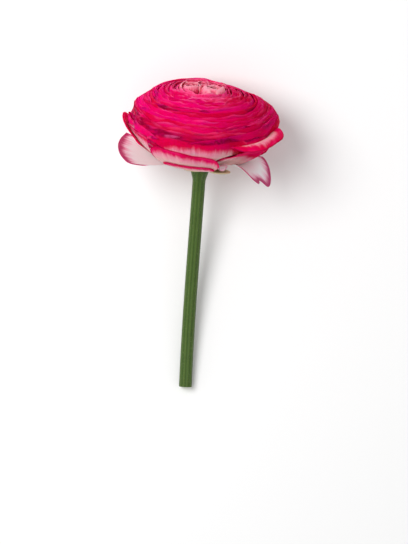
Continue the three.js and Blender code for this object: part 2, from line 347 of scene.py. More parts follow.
def eyeMaterial():
    paint = eyePaint
    material, maker, shader = newMaterial("eyeSkin", paint["finish"])
    across, along, level, dice = (
        maker.painted(label) for label in ("across", "along", "level", "dice")
    )
    streakPlace = maker.vector(across * 9.0, along * 2.0, dice * 60.0)
    streak = maker.noise(streakPlace, detail=3.0, roughness=0.7)
    light = (along + (streak - 0.5) * 0.9 + (dice - 0.5) * 0.2 + level * 0.12).smooth(0.5, 1.05)
    foot = maker.blend(dice, paint["darkFoot"], paint["lightFoot"])
    rim = maker.blend(level, paint["pinkRim"], paint["salmonRim"])
    feed(maker, shader, "Base Color", maker.blend(light, foot, rim))
    return material


sepalPaint = {
    "finish": {
        "Roughness": 0.65,
        "Specular IOR Level": 0.3,
        "Subsurface Weight": 0.1,
        "Subsurface Scale": 1 * mm,
    },
    "olive": (0.14, 0.15, 0.035, 1),
    "brown": (0.30, 0.25, 0.09, 1),
    "paleEdge": (0.66, 0.58, 0.34, 1),
    "relief": 0.4,
}


def sepalMaterial():
    paint = sepalPaint
    material, maker, shader = newMaterial("sepalSkin", paint["finish"])
    across, along, edge = (maker.painted(label) for label in ("across", "along", "edge"))
    streak = maker.noise(maker.vector(across * 16.0, along * 1.5, 1.0), detail=3.0, roughness=0.6)
    brown = maker.blend(streak, paint["olive"], paint["brown"])
    colour = maker.blend(edge.smooth(0.72, 0.97), brown, paint["paleEdge"])
    feed(maker, shader, "Base Color", colour)
    emboss(maker, shader, streak, paint["relief"])
    return material


stemPaint = {
    "finish": {
        "Roughness": 0.5,
        "Specular IOR Level": 0.25,
        "Subsurface Weight": 0.1,
        "Subsurface Scale": 1.5 * mm,
    },
    "darkGreen": (0.026, 0.064, 0.007, 1),
    "green": (0.058, 0.11, 0.015, 1),
    "ribCrest": (0.10, 0.17, 0.03, 1),
    "mottle": (0.025, 0.06, 0.01, 1),
    "cutFace": (0.40, 0.48, 0.20, 1),
    "stretch": (1.0, 0.05, 1.0),  # draws the streaks out along the stem
    "relief": 0.3,
    "reliefDepth": 0.3 * mm,
}


def stemMaterial():
    paint = stemPaint
    material, maker, shader = newMaterial("stemSkin", paint["finish"])
    places = maker.add("ShaderNodeTexCoord", None, None, "Object")
    stretched = maker.add(
        "ShaderNodeMapping", {"vector_type": "POINT"},
        {"Vector": places, "Scale": paint["stretch"]},
    )
    streak = maker.noise(stretched, 900.0, 3.0, 0.6)
    mottle = maker.noise(places, 160.0, 3.0)
    colour = maker.blend(streak, paint["darkGreen"], paint["green"])
    colour = maker.blend(maker.painted("around") * 0.45, colour, paint["ribCrest"])
    colour = maker.blend((mottle - 0.3).smooth(0.2, 0.5) * 0.25, colour, paint["mottle"])
    colour = maker.blend(maker.painted("cut"), colour, paint["cutFace"])
    feed(maker, shader, "Base Color", colour)
    emboss(maker, shader, streak, paint["relief"], paint["reliefDepth"])
    return material


petalSkin = petalMaterial()
guardSkin = guardMaterial()
eyeSkin = eyeMaterial()
sepalSkin = sepalMaterial()
stemSkin = stemMaterial()
print("materials made")


dentBegins = (0.2, 0.6)  # along a petal, where its dents come in unless they say otherwise
dents = [  # where the dome draws in: each window is of the cosine of the angle off its azimuth
    {  # behind the loose petal
        "flag": "dented", "azimuth": -36, "window": (0.70, 0.95), "depth": 5 * mm,
        "from": (-1 * mm, 0), "to": (29 * mm, 41 * mm),
    },
    {  # over the left spread petal
        "flag": "dented", "azimuth": -168, "window": (0.80, 0.96), "depth": 3.2 * mm,
        "from": (-1 * mm, 0), "to": (17 * mm, 27 * mm),
    },
    {  # the left shoulder, above the tip of an outer petal
        "flag": "pinched", "azimuth": 172, "window": (0.75, 0.97), "depth": 3 * mm,
        "from": (23 * mm, 27 * mm), "to": (30 * mm, 36 * mm),
    },
    {  # the right shoulder, behind
        "flag": "slumped", "azimuth": 54, "window": (0.80, 0.97), "depth": 3.6 * mm,
        "from": (30 * mm, 38 * mm), "to": (43 * mm, 46 * mm),
    },
    {  # the left shoulder, behind
        "flag": "slumped", "azimuth": 146, "window": (0.85, 0.98), "depth": 2.6 * mm,
        "from": (30 * mm, 36 * mm), "to": (38 * mm, 42 * mm),
    },
    {  # under the front edge, where a sepal and the stunted petal show
        "flag": "undercut", "azimuth": -54, "window": (0.86, 0.97), "depth": 5 * mm,
        "rise": 3.2 * mm, "begins": (0.06, 0.3), "from": (-1 * mm, 0), "to": (9 * mm, 19 * mm),
    },
]


def petalSeeds(name, petals):  # one point for each petal, which carries what shapes it
    mesh = bpy.data.meshes.new(name)
    mesh.from_pydata([(0, 0, 0)] * len(petals), [], [])
    mark(mesh, {label: [float(petal[label]) for petal in petals] for label in petals[0]})
    return mesh


def laySheets(maker, given):  # a flat sheet for each petal, marked across from -1 to 1 and along
    sheet = maker.add("GeometryNodeMeshGrid", None, [2.0, 1.0, given.columns, given.rows])
    copies = maker.add(
        "GeometryNodeInstanceOnPoints", None, {"Points": given.Geometry, "Instance": sheet}
    )
    sheets = maker.add("GeometryNodeRealizeInstances", None, [copies])
    place = maker.place()
    sheets = maker.keep(sheets, "across", maker.part(place, "X"))
    return maker.keep(sheets, "along", maker.part(place, "Y") + 0.5)


def courseAt(maker, share):  # how far out and how high the petal's own course is at this share
    rest = 1.0 - share
    weights = (
        rest * rest * rest, 3.0 * rest * rest * share, 3.0 * rest * share * share,
        share * share * share,
    )
    return [
        sum(weight * maker.carried(f"{label}{n}") for n, weight in enumerate(weights))
        for label in ("radius", "height")
    ]


def drawIn(maker, along, angle, radius, height):  # the dents, on the petals that they flag
    for dent in dents:
        facing = (angle - math.radians(dent["azimuth"])).math("COSINE").smooth(*dent["window"])
        within = height.smooth(*dent["from"]) * (1.0 - height.smooth(*dent["to"]))
        begun = along.smooth(*dent.get("begins", dentBegins))
        dented = maker.carried(dent["flag"]) * facing * within * begun
        radius = radius - dented * dent["depth"]
        height = height + dented * dent.get("rise", 0.0)
    return radius, height


waves = {
    "ripple": (2.8, 0.8, 60.0),  # its scales across, along and from petal to petal
    "crinkle": (9.0, 1.5, 50.0),
    "raggedBy": (0.10, 0.045),  # how far each moves a ragged rim up and down
    "wavedBy": (2.0, 0.7),  # how far each moves a wavy rim in and out
    "waveWindow": (0.45, 1.0),  # along a petal
    "lipWindow": (0.80, 1.05),
}


def petalPlace(maker, given):  # where each point of a sheet stands in the upright bloom
    own = maker.carried
    across, along, dice = own("across"), own("along"), own("dice")
    wide, long, apart = waves["ripple"]
    ripplePlace = maker.vector(across * wide, along * long, dice * apart + given.waveSeed)
    ripple = maker.noise(ripplePlace) - 0.5
    wide, long, apart = waves["crinkle"]
    crinkle = maker.noise(maker.vector(across * wide, along * long, dice * apart)) - 0.5
    more, less = waves["raggedBy"]
    fall = own("fall") * abs(across) ** own("corner")
    rim = 1.0 - fall - own("tilt") * across + (ripple * more + crinkle * less) * own("ragged")
    radius, height = courseAt(maker, lerp(own("start"), rim, along))
    more, less = waves["wavedBy"]
    wave = (ripple * more + crinkle * less) * own("wave") * along.smooth(*waves["waveWindow"])
    lip = own("lip") * along.smooth(*waves["lipWindow"]) ** 2.0
    angle = own("azimuth") + across * own("halfAngle")
    radius, height = drawIn(maker, along, angle, radius + wave + lip, height)
    return maker.vector(
        own("centreX") + radius * angle.math("COSINE"),
        own("centreY") + radius * angle.math("SINE"),
        height,
    )


def bedLift(maker, given):  # up to the petal's bed, with a soft start just above it
    dot = {"operation": "DOT_PRODUCT"}
    risen = maker.add("ShaderNodeVectorMath", dot, [maker.place(), given.up], "Value")
    over = risen + given.collarHeight - maker.carried("bed")
    bent = (over + given.pressBlend).math("MAXIMUM", 0.0)
    bent = bent * bent / (given.pressBlend * 4.0)
    free = over.math("GREATER_THAN", given.pressBlend)
    lift = lerp(bent, over, free) - over
    return maker.add("ShaderNodeVectorMath", {"operation": "SCALE"}, {0: given.up, "Scale": lift})


def wrapPetals(name, petals, cells, thickness, material):  # one piece of many petals
    sizes = {
        "columns": cells[0] + 1,
        "rows": cells[1] + 1,
        "up": Vector((bloomAcross.z, bloomDown.z, bloomAxis.z)),
        "collarHeight": bloomOrigin.z,
        "pressBlend": 1.2 * mm,
        "waveSeed": 3.0,
        "material": material,
    }
    maker, given = geometryTree(name + "Shape", sizes)
    sheets = {"Geometry": laySheets(maker, given), "Position": petalPlace(maker, given)}
    shaped = maker.add("GeometryNodeSetPosition", None, sheets)
    pressed = {"Geometry": shaped, "Offset": bedLift(maker, given)}
    bedded = maker.add("GeometryNodeSetPosition", None, pressed)
    whole = maker.add("GeometryNodeRealizeInstances", None, [bedded])
    piece = newPiece(name, petalSeeds(name, petals))
    runTree(piece, maker, maker.dress(whole, given.material), sizes)
    thicken(piece, thickness)
    settle(piece)
    piece.data.transform(bloomToFlower)
    return piece


def petal(azimuth, halfAngle, course, **more):  # what shapes and paints one petal
    made = {
        "azimuth": math.radians(azimuth),
        "halfAngle": math.radians(halfAngle),
        "start": 0.0,  # the share of its course that is left out at the root
        "fall": 0.13,  # how much shorter it is at its sides
        "corner": 2.4,  # the higher, the squarer
        "tilt": 0.0,  # how much shorter at one side than in its middle
        "ragged": 0.4,  # how uneven its rim is
        "wave": 0.4 * mm,  # in and out, towards its rim
        "lip": 0.0,  # how far its rim leans out
        "bed": 1 * mm,  # no part of it lies lower
        "centreX": 0.0,  # of its curve, off the dome's axis
        "centreY": 0.0,
        "dented": 0.0,  # how much of the dents with this flag it takes, and so on
        "pinched": 0.0,
        "slumped": 0.0,
        "undercut": 0.0,
        "flush": 0.9,  # how far along its magenta starts
        "sides": 0.0,  # how much sooner at its sides
        "line": 0.6,  # how dark the line on its rim is
        # how strong the painted highlight under its rim is
        "glint": 0.3,
        "level": 0.0,  # how pale, at the eye
        "dice": 0.5,  # its own random draw
    }
    for n, (radius, height) in enumerate(course):
        made[f"radius{n}"] = radius
        made[f"height{n}"] = height
    made.update(more)
    return made


goldenAngle = 137.508  # degrees from a petal to the next in the spiral
dome = {
    "radius": 48.3 * mm,
    "widestHeight": lying["widestHeight"],
    "crownRise": 22.5 * mm,
    "bowlDepth": 26 * mm,
    "bowlRoundness": 1.15,
    "crownRoundness": 1.04,
    "crownShift": (-2.4 * mm, 3.6 * mm),  # of the eye, off the dome's axis
    "cells": (34, 11),
    "thickness": 0.4 * mm,
    "seed": 11,
}
bowl = {  # the course that the outer petals hug
    "root": (8.3, 0.8),  # mm out from the axis and up from the collar
    "dip": 4,  # degrees that it leaves its root downwards
    "shoulder": 25,  # degrees of latitude where it ends
    "handles": (0.56, 0.42),  # of the curve, as shares of the way from root to shoulder
    "steps": 200,
}
shell = {  # the course of a petal inside the bowl: in pairs, at the outermost and the innermost
    "latitudes": (-32, 68),
    "crowding": 1 / 0.72,
    "inset": (1.4, 0),  # mm
    "insetEnds": 0.6,
    "flare": (2, 12),  # degrees
    "rootRadius": (8.5, 4.5),  # mm
    "rootHeight": (1, 13),
    "steepness": (0, 66),  # degrees
    "rootHandle": (0.62, 0.45),
    "rimHandle": (0.24, 0.42),
}


def domePoint(theta):
    rise = dome["crownRise"] if theta > 0 else dome["bowlDepth"]
    roundness = dome["crownRoundness"] if theta > 0 else dome["bowlRoundness"]
    radius = dome["radius"] * math.cos(theta) ** roundness
    return np.array([radius, dome["widestHeight"] + rise * math.sin(theta)])


def rimOnDome(latitude):  # the rim's place, and the way that the dome rises there
    theta = math.radians(latitude)
    step = 0.01
    rising = domePoint(theta + step) - domePoint(theta - step)
    return domePoint(theta), rising / np.linalg.norm(rising)


def heading(degrees):
    angle = math.radians(degrees)
    return np.array([math.cos(angle), math.sin(angle)])


def split(course, share):  # the first part of a cubic course
    a, b, c, d = course
    ab, bc, cd = lerp(a, b, share), lerp(b, c, share), lerp(c, d, share)
    abc, bcd = lerp(ab, bc, share), lerp(bc, cd, share)
    return a, ab, abc, lerp(abc, bcd, share)


def bowlCourse():  # from the collar under the bowl and up to the shoulder: root, handles and rim
    rim, rising = rimOnDome(bowl["shoulder"])
    root = np.array(bowl["root"]) * mm
    span = np.linalg.norm(rim - root)
    rootHandle, rimHandle = bowl["handles"]
    nearRoot = root + heading(-bowl["dip"]) * span * rootHandle
    return root, nearRoot, rim - rising * span * rimHandle, rim


def hugCourse(latitude, inset):  # a petal that lines the bowl: the bowl's course as far as its rim
    shares = np.linspace(0, 1, bowl["steps"])
    heights = bezier(bowlCourse(), shares)[:, 1]
    lowest = int(np.argmin(heights))
    share = np.interp(rimOnDome(latitude)[0][1], heights[lowest:], shares[lowest:])
    middle = np.array([0, dome["widestHeight"]])
    shrink = 1 - inset / np.array([dome["radius"], dome["bowlDepth"]])
    return [middle + (point - middle) * shrink for point in split(bowlCourse(), share)]


def shellCourse(latitude):  # a petal inside the bowl, which stands steeper
    lowest, highest = shell["latitudes"]
    level = ((latitude - lowest) / (highest - lowest)) ** shell["crowding"]
    rim, rising = rimOnDome(latitude)
    outward = np.array([rising[1], -rising[0]])
    rim = rim - outward * lerp(*shell["inset"], min(1, level / shell["insetEnds"])) * mm
    flare = math.radians(lerp(*shell["flare"], level**0.7))
    arrival = rising * math.cos(flare) + outward * math.sin(flare)
    root = np.array([lerp(*shell["rootRadius"], level), lerp(*shell["rootHeight"], level)]) * mm
    departure = heading(lerp(*shell["steepness"], level**0.62))
    span = np.linalg.norm(rim - root)
    nearRoot = root + departure * span * lerp(*shell["rootHandle"], level)
    nearRim = rim - arrival * span * lerp(*shell["rimHandle"], level**0.6)
    return root, nearRoot, nearRim, rim


freePetals = [
    {  # the bloom lies on it, and its weight has pressed it flat
        "azimuth": 90, "halfAngle": 34,
        "course": [(8.3, 0.45), (33, -0.2), (51.5, 8), (43.6, 29)],
        "more": {"bed": 0.22 * mm, "wave": 0.0, "fall": 0.3, "corner": 3},
    },
    {  # its rim spreads and bends down at the right, so that its pale inner face shows
        "azimuth": -33, "halfAngle": 36,
        "course": [(8.3, 0.9), (31, -1), (42, 35), (50.2, 21.5)],
        "more": {
            "fall": 0.3, "corner": 7, "flush": 0.91, "wave": 1.1 * mm, "line": 0.7, "sides": 0.2,
            "undercut": 1,
        },
    },
]
outerPetals = [  # azimuth, half angle, rim latitude, how far in (mm), and the rest
    (145, 30, -27, 0, {"dented": 1}),
    (30, 36, -27, 0, {}),
    (-102, 27, -33, -0.4, {"fall": 0.24, "corner": 7, "flush": 0.88}),
    (120, 34, -18, 0.6, {"dented": 1}),
    (60, 36, -18, 0.6, {}),
    (-36, 33, -9, 0,
     {"fall": 0.4, "corner": 6, "flush": 0.62, "ragged": 0.9, "dented": 0.6, "undercut": 1}),
    (-103, 30, -10, 0.3, {"fall": 0.24, "corner": 8, "tilt": 0.08, "flush": 0.9}),
    (90, 36, -8, 1.2, {}),
    (-152, 34, 2, 1,
     {"fall": 0.14, "flush": 0.93, "sides": 0.1, "dented": 1, "glint": 1.3}),
    (180, 26, 5, 0.2,
     {"fall": 0.3, "flush": 0.9, "line": 0.3, "dice": 0.9, "dented": 1, "lip": 1.8 * mm}),
    (-128, 36, 9, 1.5,
     {"fall": 0.12, "tilt": 0.04, "flush": 0.88, "sides": -0.35, "dented": 1, "glint": 1.3,
      "undercut": 1}),
    (-46, 36, 6, 1.5, {"fall": 0.16, "flush": 0.88, "dented": 1, "undercut": 1}),
    (130, 36, 4, 1.7, {"dented": 1}),
    (50, 36, 5, 1.7, {}),
    (-92, 42, 15, 0.9,
     {"fall": 0.12, "corner": 4, "flush": 0.85, "glint": 1.3, "line": 0, "sides": 0.15,
      "dice": 0.35, "dented": 1, "undercut": 1}),
    (-165, 36, 12, 1.9,
     {"fall": 0.2, "flush": 0.88, "sides": -0.3, "dented": 1, "glint": 1.3}),
    (5, 36, 11, 1.9, {"fall": 0.2, "flush": 0.86, "dented": 1, "undercut": 1}),
    (100, 36, 10, 2.2, {}),
]
outerBed = (1, 0.28)  # mm: of the first outer petal, and how much higher each later one's is
spiral = {  # the petals inside the outer ones, up to the eye
    "petals": 86,
    "firstAzimuth": 40,
    "azimuthStray": 8,
    "halfAngle": (50, 68),
    "latitude": (15, 67),  # of the rims, from the first petal to the last
    "latitudeStray": 1.2,
    "fall": (0.14, 0.24),
    "corner": 6,
    "tilt": 0.04,
    "ragged": 1.1,
    "wave": (0.3, 0.8),  # mm
    "bed": (6, 0.06),  # mm: the first one's, and how much higher each later one's is
    "hiddenRoot": 0.45,  # of the last one's course
    "flush": (0.84, 0.2),
    "flushFallen": 0.25,  # the share of the spiral by which it has fallen
    "glint": (0, 0.5),
    "crownFrom": 0.75,  # the share of the spiral where the painted highlight on the rims starts to grow
    "crownGlint": 4,
    "dentedBy": {"dented": 1, "pinched": 1, "slumped": 1, "undercut": 1},
}


def spiralPetal(k, draw):
    share = k / (spiral["petals"] - 1)
    stray = draw.uniform(-spiral["azimuthStray"], spiral["azimuthStray"])
    halfAngle = draw.uniform(*spiral["halfAngle"])
    latitude = lerp(*spiral["latitude"], share**0.9)
    latitude += draw.uniform(-spiral["latitudeStray"], spiral["latitudeStray"])
    bed, higher = spiral["bed"]
    crownFrom = spiral["crownFrom"]
    shiftX, shiftY = dome["crownShift"]
    return petal(
        spiral["firstAzimuth"] + k * goldenAngle + stray,
        halfAngle,
        shellCourse(latitude),
        dice=draw.random(),
        fall=draw.uniform(*spiral["fall"]),
        corner=spiral["corner"],
        tilt=draw.uniform(-spiral["tilt"], spiral["tilt"]),
        ragged=spiral["ragged"],
        wave=draw.uniform(*spiral["wave"]) * mm,
        bed=(bed + higher * k) * mm,
        start=spiral["hiddenRoot"] * share**0.5,
        flush=lerp(*spiral["flush"], min(1, share / spiral["flushFallen"])),
        line=0,
        glint=draw.uniform(*spiral["glint"]) + max(0, share - crownFrom) * spiral["crownGlint"],
        centreX=shiftX * share,
        centreY=shiftY * share,
        **spiral["dentedBy"],
    )


def domePetals():
    draw = random.Random(dome["seed"])
    petals = []
    for one in freePetals:
        course = np.array(one["course"]) * mm
        dice = draw.random()
        petals.append(petal(one["azimuth"], one["halfAngle"], course, dice=dice, **one["more"]))
    bed, higher = outerBed
    for n, (azimuth, halfAngle, latitude, inset, more) in enumerate(outerPetals):
        made = {"dice": draw.random(), "bed": (bed + higher * n) * mm, **more}
        petals.append(petal(azimuth, halfAngle, hugCourse(latitude, inset * mm), **made))
    petals += [spiralPetal(k, draw) for k in range(spiral["petals"])]
    return petals


petalDome = wrapPetals("petalDome", domePetals(), dome["cells"], dome["thickness"], petalSkin)
claim(petalDome, "petal", "petals")
print("dome petals:", len(petalDome.data.polygons), "faces")

eye = {  # a ring of curled petals round two large whorls and three small ones
    "foot": 34 * mm,
    "belly": (1.12, 0.6),  # how much wider a petal would be, and how high up
    "neck": 1.02,  # how high it turns in
    "ring": {  # in pairs: at its outermost petal and its innermost, or the least and the most
        "petals": 36,
        "radius": (18.8 * mm, 11.5 * mm),
        "height": 44.6 * mm,
        "raised": (-0.4, 0.9),  # mm
        "heightStray": (-0.7, 0.6),  # mm
        "curl": (1.02, 0.8),
        "curlStray": 0.05,
        "halfAngle": (22, 38),
        "pale": (0.15, 0.7),
        "more": {"fall": 0.25, "wave": 1.5 * mm, "ragged": 2.4},
    },
    "whorl": {
        "height": 46.4 * mm,
        "core": 1.2,  # mm, the radius of the innermost petal
        "sink": 1.4,  # mm, from the outermost petal to the innermost
        "heightStray": (-0.5, 0.3),  # mm
        "curl": (0.45, 0.8),
        "halfAngle": (55, 80),
        "paleStray": (0.6, 1.3),
        "more": {"fall": 0.3, "corner": 2.6, "wave": 0.6 * mm, "ragged": 1.2},
    },
    "whorls": [  # x, y, radius (mm), how far raised (mm), petals, turn (degrees), how pale
        (-9.4, 4.6, 7.2, 0.9, 12, 20, 0.8), (5.2, 2.2, 7.8, 1.0, 13, 200, 0.9),
        (-1.8, 12.2, 5.2, -0.4, 8, 10, 0.6), (-2, -5, 5.4, -2.2, 8, 60, 0.15),
        (9.6, 9.6, 3.6, -0.8, 6, 90, 0.45),
    ],
    "cells": (14, 8),
    "thickness": 0.35 * mm,
    "seed": 5,
}
noBed = -1  # so far below the floor that it presses no petal


def curledCourse(radius, rimRadius, rimHeight):  # upright, with its rim bent inward
    foot = eye["foot"]
    rise = rimHeight - foot
    wider, bellyShare = eye["belly"]
    return [
        (radius, foot), (radius * wider, foot + bellyShare * rise),
        (radius, foot + eye["neck"] * rise), (rimRadius, rimHeight),
    ]


def ringPetal(k, draw):
    ring = eye["ring"]
    inward = k / (ring["petals"] - 1)
    radius = lerp(*ring["radius"], inward)
    top = ring["height"] + lerp(*ring["raised"], inward) * mm
    top += draw.uniform(*ring["heightStray"]) * mm
    curl = lerp(*ring["curl"], inward) + draw.uniform(-ring["curlStray"], ring["curlStray"])
    halfAngle = draw.uniform(*ring["halfAngle"])
    shiftX, shiftY = dome["crownShift"]
    return petal(
        k * goldenAngle, halfAngle, curledCourse(radius, radius * curl, top),
        level=lerp(*ring["pale"], inward) * draw.random(), dice=draw.random(),
        bed=noBed, centreX=shiftX, centreY=shiftY, **ring["more"],
    )


def whorlPetals(x, y, radius, raised, count, turn, pale, draw):
    whorl = eye["whorl"]
    petals = []
    for k in range(count):
        inward = k / (count - 1)
        ring = lerp(radius, whorl["core"], inward) * mm
        above = raised - whorl["sink"] * inward + draw.uniform(*whorl["heightStray"])
        rim = ring * draw.uniform(*whorl["curl"])
        course = curledCourse(ring, rim, whorl["height"] + above * mm)
        petals.append(
            petal(
                turn + k * goldenAngle, lerp(*whorl["halfAngle"], inward), course,
                level=pale * draw.uniform(*whorl["paleStray"]), dice=draw.random(),
                bed=noBed, centreX=x * mm, centreY=y * mm, **whorl["more"],
            )
        )
    return petals


def eyePetalList():
    draw = random.Random(eye["seed"])
    petals = [ringPetal(k, draw) for k in range(eye["ring"]["petals"])]
    for whorl in eye["whorls"]:
        petals += whorlPetals(*whorl, draw)
    return petals


eyePetals = wrapPetals("eyePetals", eyePetalList(), eye["cells"], eye["thickness"], eyeSkin)
claim(eyePetals, "eye_petal", "eye_petals")
print("eye petals:", len(eyePetals.data.polygons), "faces")

spreadForm = {  # of every spread petal and sepal, as shares of half its width or of its length
    "notchPlace": -0.3,
    "notchWidth": 0.22,
    "tipPower": 2.2,  # the higher, the squarer
    "cupWindow": (0.1, 1),
    "rollAcross": (0.8, 1.05),
    "rollAlong": (0.3, 0.8),
    "edgePower": 1.4,
    "edgeAlong": (0.2, 0.9),  # where the painted edge comes in along its sides
}


def spreadSheet(  # a petal or sepal that spreads by itself: its points, and two shares at each
    azimuth, course, claw, halfWidth, widest, cup, roundness, cells, narrow=0.0, notch=0.0,
    roll=0.0, bank=0.0, inner=1.0
):
    across, along = cells
    u, v = np.meshgrid(np.linspace(-1, 1, across + 1), np.linspace(0, 1, along + 1))
    form = spreadForm
    cleft = notch * np.exp(-(((u - form["notchPlace"]) / form["notchWidth"]) ** 2))
    reach = v * (1 - roundness * np.abs(u) ** form["tipPower"] - cleft)
    place = bezier(course, reach)
    step = 0.005
    slope = bezier(course, reach + step) - bezier(course, reach - step)
    slope /= np.linalg.norm(slope, axis=-1, keepdims=True)
    breadth = lerp(claw, halfWidth, smoothstep(reach, narrow, widest))
    lift = (cup * u * u + bank * u) * smoothstep(reach, *form["cupWindow"])
    rolled = smoothstep(np.abs(u), *form["rollAcross"]) * smoothstep(v, *form["rollAlong"])
    lift = lift + roll * rolled
    outward = place[..., 0] - slope[..., 1] * lift
    height = place[..., 1] + slope[..., 0] * lift
    turn = math.radians(azimuth)
    aside = u * breadth
    x = outward * math.cos(turn) - aside * math.sin(turn)
    y = outward * math.sin(turn) + aside * math.cos(turn)
    return np.stack([x, y, height], -1) * mm, u * inner, v * inner


def sheetMesh(name, sheets):  # one mesh from several sheets of points
    places, faces, marks = [], [], {"across": [], "along": [], "edge": []}
    for points, u, v in sheets:
        first = len(places)
        rows, columns = u.shape
        places += [tuple(point) for point in points.reshape(-1, 3)]
        for j in range(rows - 1):
            for i in range(columns - 1):
                a = first + j * columns + i
                faces.append((a, a + 1, a + 1 + columns, a + columns))
        marks["across"] += list(u.ravel())
        marks["along"] += list(v.ravel())
        sides = np.abs(u) ** spreadForm["edgePower"] * smoothstep(v, *spreadForm["edgeAlong"])
        marks["edge"] += list(np.maximum(sides, v).ravel())
    mesh = bpy.data.meshes.new(name)
    mesh.from_pydata(places, [], faces)
    mark(mesh, marks)
    mesh.transform(bloomToFlower)
    return mesh


def makeSpread(name, sheets, thickness, material):
    piece = newPiece(name, sheetMesh(name, sheets))
    piece.data.materials.append(material)
    thicken(piece, thickness)
    return settle(piece)


guards = {  # lengths in mm
    "thickness": 0.5 * mm,
    "left": {
        "azimuth": 188, "course": [(2.5, -0.75), (18, -1.3), (35, 0.9), (51, 6.8)], "claw": 3.2,
        "halfWidth": 23, "widest": 1, "cup": 1.6, "roundness": 0.12, "cells": (44, 40),
        "roll": 0.8, "bank": -2.2,
    },
    "right": {
        "azimuth": -15, "course": [(2.5, -0.75), (18, -1.6), (32, 9.5), (44, -10.8)], "claw": 3.2,
        "halfWidth": 18, "narrow": 0.34, "widest": 0.86, "cup": 3, "roundness": 0.28, "notch": 0.1,
        "cells": (50, 44), "roll": 0.8, "bank": 0.7,
    },
    "stunted": {  # a small one under the front edge
        "azimuth": -64, "course": [(7, -0.6), (20, -1.8), (29.5, 12.5), (31.5, 4.2)], "claw": 1.4,
        "halfWidth": 3.6, "widest": 0.8, "cup": 0.8, "roundness": 0.12, "cells": (20, 24),
        "inner": 0.93,  # how far it reaches into the dark margin that the large ones have
    },
}


def makeGuard(name, which, *nodes):
    guard = makeSpread(name, [spreadSheet(**guards[which])], guards["thickness"], guardSkin)
    claim(guard, "guard_petal", *nodes)


makeGuard("guardPetalLeft", "left", "guard_petal_left")
makeGuard("guardPetalRight", "right", "guard_petal_right")
makeGuard("stuntedPetal", "stunted")
print("guard petals made")

sepalSizes = {  # lengths in mm
    "thickness": 0.6 * mm,
    "firstAzimuth": -41,
    "courses": [  # two spread ones first
        [(2.5, -1.9), (10, -2.2), (17, -2.4), (24, -1.2)],
        [(2.5, -1.9), (10, -2.2), (17, -2.4), (24, -1.2)],
        [(2.5, -1.9), (11, -1.6), (18, -4), (20.5, -9)],  # bent back towards the stem
        [(2.5, -1.9), (10, -2.3), (16, -3.1), (21, -3.6)],  # low
        [(2.5, -1.9), (9, -2.2), (14, -1.9), (19, -0.6)],  # tucked against the bowl
    ],
    "shape": {
        "claw": 3.4, "halfWidth": 6.2, "widest": 0.5, "cup": -0.8, "roundness": 0.55,
        "cells": (20, 24),
    },
}


def makeSepals():
    apart = 360 / len(sepalSizes["courses"])
    sheets = [
        spreadSheet(sepalSizes["firstAzimuth"] + apart * n, course, **sepalSizes["shape"])
        for n, course in enumerate(sepalSizes["courses"])
    ]
    return makeSpread("sepalRing", sheets, sepalSizes["thickness"], sepalSkin)


sepals = claim(makeSepals(), "sepal", "sepals")
print("sepals made")

stemSizes = {
    "radius": 3.95 * mm,
    "ribs": 10,
    "ribDepth": 0.3 * mm,
    "ribsRise": 4 * mm,  # the length in which they rise, below the receptacle
    "bow": 46 * mm,
    "cutEnd": Vector((-9, -94, 3.7)) * mm,
    "cutDirection": Vector((-0.04, -0.996, -0.075)).normalized(),
    "rings": 110,
    "sides": 80,
    "neckSwell": 1.7 * mm,
    "neckLength": 8 * mm,
    "receptacleTop": -2.6 * mm,
    "receptacleHeight": 3 * mm,
    "receptacle": [  # below its top (mm), radius (mm), how ribbed
        (0, 0.02, 0), (0, 6.8, 0), (0.3, 7, 0), (0.9, 7, 0), (1.9, 6.1, 0.3),
    ],
    "cut": [  # into the stem from its cut end (mm), radius (mm), how ribbed: the pith is hollow
        (0, 3.75, 1), (0, 1.9, 0), (0.2, 1.8, 0), (6, 1.8, 0), (6.2, 0.02, 0),
    ],
    "sharpAngle": 40,
}


def stemRings():  # from its top to its pith, each ring's centre, heading, radius, ribs and cut
    top = bloomToFlower @ Vector((0, 0, stemSizes["receptacleTop"]))
    neck = top - bloomAxis * stemSizes["receptacleHeight"]
    end, endHeading = stemSizes["cutEnd"], stemSizes["cutDirection"]
    bow = stemSizes["bow"]
    course = [neck, neck - bloomAxis * bow, end - endHeading * bow, end]
    centres = bezier(course, np.linspace(0, 1, stemSizes["rings"]))
    heads = np.gradient(centres, axis=0)
    heads /= np.linalg.norm(heads, axis=1, keepdims=True)
    fromNeck = np.linalg.norm(centres - np.array(neck), axis=1)
    swell = smoothstep(-fromNeck, -stemSizes["neckLength"], 0) * stemSizes["neckSwell"]
    axis, tip, head, last = (np.array(it) for it in (bloomAxis, top, endHeading, end))
    rings = []
    for below, radius, ribbed in stemSizes["receptacle"]:
        rings.append((tip - axis * below * mm, -axis, radius * mm, ribbed, 0))
    for centre, way, more, away in zip(centres, heads, swell, fromNeck):
        ribbed = min(1, away / stemSizes["ribsRise"])
        rings.append((centre, way, stemSizes["radius"] + more, ribbed, 0))
    for depth, radius, ribbed in stemSizes["cut"]:
        rings.append((last - head * depth * mm, head, radius * mm, ribbed, 1))
    return rings


